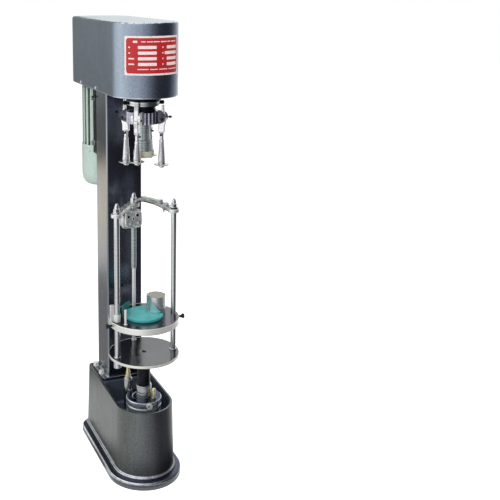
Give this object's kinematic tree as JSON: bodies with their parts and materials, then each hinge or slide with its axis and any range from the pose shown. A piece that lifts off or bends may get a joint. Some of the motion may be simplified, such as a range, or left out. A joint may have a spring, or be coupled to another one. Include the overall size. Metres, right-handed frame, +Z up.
{
  "type": "screw capping machine",
  "caption": "Bench capping machine with a belt-driven spindle, four roller arms, a box column, and a lift that carries a bottle table between guide rods.",
  "frame": {"origin": "centre of the bounding box in plan, on the floor under the base", "axes": "+Z up along the column, +X to the machine's right seen from the front, -Y towards the operator"},
  "size_m": [0.214, 0.503, 1.2],
  "materials": {
    "belt_rubber": "moulded wedge belt",
    "black_plastic": "black phenolic",
    "black_steel": "blackened steel",
    "brass": "turned brass",
    "cast_steel": "satin cast steel",
    "casting_grey": "dark grey enamel on cast iron",
    "chrome": "bright plating",
    "column_grey": "dark grey enamel on steel",
    "cream_nylon": "cream nylon",
    "hammer_grey": "hammered grey enamel",
    "pale_green": "pale green enamel",
    "polished_aluminium": "polished disc",
    "polished_steel": "polished",
    "red_plate": "enamelled plate with plain bars",
    "teal_rubber": "moulded teal rubber"
  },
  "bodies": {
    "machine_frame": {"base_casting": "casting_grey", "column": "column_grey", "head_cover": "hammer_grey", "head_plate": "black_steel", "rating_plate": "red_plate", "motor_body": "pale_green", "fan_cover": "pale_green", "motor_bracket": "black_steel", "terminal_box": "pale_green", "cable_gland": "black_plastic", "bearing_housing": "black_steel", "lower_bearing": "polished_steel", "upper_bearing": "polished_steel", "drive_belt": "belt_rubber", "lift_guide_housing": "cast_steel", "lift_collar": "chrome", "lift_bush": "polished_steel", "stop_post": "cast_steel", "stop_screw": "brass", "guide_pin": "brass"},
    "spindle": {"spindle_shaft": "polished_steel", "spindle_pulley": "cast_steel", "capping_hub": "polished_steel", "clamp_ring": "polished_steel", "spindle_sleeve": "black_steel", "pad_spring": "polished_steel"},
    "motor_rotor": {"motor_shaft": "polished_steel", "motor_pulley": "cast_steel", "cooling_fan": "black_plastic"},
    "pressure_pad_body": {"pressure_pad": "cream_nylon", "pad_stem": "polished_steel"},
    "capping_arm_1": {"arm_1": "chrome"},
    "capping_arm_2": {"arm_2": "chrome"},
    "capping_arm_3": {"arm_3": "chrome"},
    "capping_arm_4": {"arm_4": "chrome"},
    "roller_body_1": {"roller_1": "polished_steel"},
    "roller_body_2": {"roller_2": "polished_steel"},
    "roller_body_3": {"roller_3": "polished_steel"},
    "roller_body_4": {"roller_4": "polished_steel"},
    "lift": {"lift_shaft": "black_steel", "lower_disc": "polished_steel", "left_rod": "chrome", "right_rod": "chrome", "rear_rod": "chrome", "left_dome_nut": "chrome", "right_dome_nut": "chrome", "rear_dome_nut": "chrome", "neck_yoke": "cast_steel", "neck_block": "cast_steel", "rear_rod_sleeve": "polished_steel"},
    "neck_jaw_body": {"neck_jaw": "cast_steel"},
    "table": {"bottle_table": "polished_aluminium", "bottle_pad": "teal_rubber", "stop_block": "polished_steel", "back_stop": "teal_rubber", "stop_bar": "polished_steel", "left_rod_clip": "polished_steel", "rear_clamp_nut": "polished_steel"},
    "thumb_screw_left_body": {"thumb_screw_left": "black_plastic"},
    "thumb_screw_right_body": {"thumb_screw_right": "black_plastic"}
  },
  "joints": [
    {"name": "spindle_turn", "type": "hinge", "parent": "machine_frame", "child": "spindle", "pos_m": [0, -0.1535, 1.03], "axis": [0, 0, 1], "continuous": true},
    {"name": "motor_turn", "type": "hinge", "parent": "machine_frame", "child": "motor_rotor", "pos_m": [0, 0.1845, 1], "axis": [0, 0, 1], "continuous": true},
    {"name": "pad_press", "type": "slide", "parent": "spindle", "child": "pressure_pad_body", "axis": [0, 0, 1], "range_m": [0, 0.008], "stiffness_N_per_m": 900, "springref_m": -0.004, "deforming": ["pad_spring"]},
    {"name": "arm_1_swing", "type": "hinge", "parent": "spindle", "child": "capping_arm_1", "pos_m": [0.04022, -0.18725, 0.961], "axis": [0.6428, 0.766, 0], "range_deg": [0, 3.8]},
    {"name": "roller_1_turn", "type": "hinge", "parent": "capping_arm_1", "child": "roller_body_1", "pos_m": [0.03639, -0.18403, 0.841], "axis": [0, 0, 1], "continuous": true},
    {"name": "arm_2_swing", "type": "hinge", "parent": "spindle", "child": "capping_arm_2", "pos_m": [0.03375, -0.11328, 0.961], "axis": [-0.766, 0.6428, 0], "range_deg": [0, 3.8]},
    {"name": "roller_2_turn", "type": "hinge", "parent": "capping_arm_2", "child": "roller_body_2", "pos_m": [0.03053, -0.11711, 0.8535], "axis": [0, 0, 1], "continuous": true},
    {"name": "arm_3_swing", "type": "hinge", "parent": "spindle", "child": "capping_arm_3", "pos_m": [-0.04022, -0.11975, 0.961], "axis": [-0.6428, -0.766, 0], "range_deg": [0, 3.8]},
    {"name": "roller_3_turn", "type": "hinge", "parent": "capping_arm_3", "child": "roller_body_3", "pos_m": [-0.03639, -0.12297, 0.841], "axis": [0, 0, 1], "continuous": true},
    {"name": "arm_4_swing", "type": "hinge", "parent": "spindle", "child": "capping_arm_4", "pos_m": [-0.03375, -0.19372, 0.961], "axis": [0.766, -0.6428, 0], "range_deg": [0, 3.8]},
    {"name": "roller_4_turn", "type": "hinge", "parent": "capping_arm_4", "child": "roller_body_4", "pos_m": [-0.03053, -0.18989, 0.8535], "axis": [0, 0, 1], "continuous": true},
    {"name": "lift_rise", "type": "slide", "parent": "machine_frame", "child": "lift", "axis": [0, 0, 1], "range_m": [0, 0.06]},
    {"name": "table_slide", "type": "slide", "parent": "lift", "child": "table", "axis": [0, 0, 1], "range_m": [-0.04, 0.09]},
    {"name": "neck_jaw_slide", "type": "slide", "parent": "lift", "child": "neck_jaw_body", "axis": [0, -1, 0], "range_m": [0, 0.01]},
    {"name": "thumb_screw_left_turn", "type": "hinge", "parent": "table", "child": "thumb_screw_left_body", "pos_m": [-0.1, -0.1675, 0.43], "axis": [-1, 0, 0], "range_deg": [0, 360]},
    {"name": "thumb_screw_right_turn", "type": "hinge", "parent": "table", "child": "thumb_screw_right_body", "pos_m": [0.1, -0.1675, 0.43], "axis": [1, 0, 0], "range_deg": [0, 360]}
  ],
  "couplings": [
    {"joint": "motor_turn", "follows": "spindle_turn", "ratio": 3.2105},
    {"joint": "arm_2_swing", "follows": "arm_1_swing", "ratio": 1},
    {"joint": "arm_3_swing", "follows": "arm_1_swing", "ratio": 1},
    {"joint": "arm_4_swing", "follows": "arm_1_swing", "ratio": 1}
  ]
}
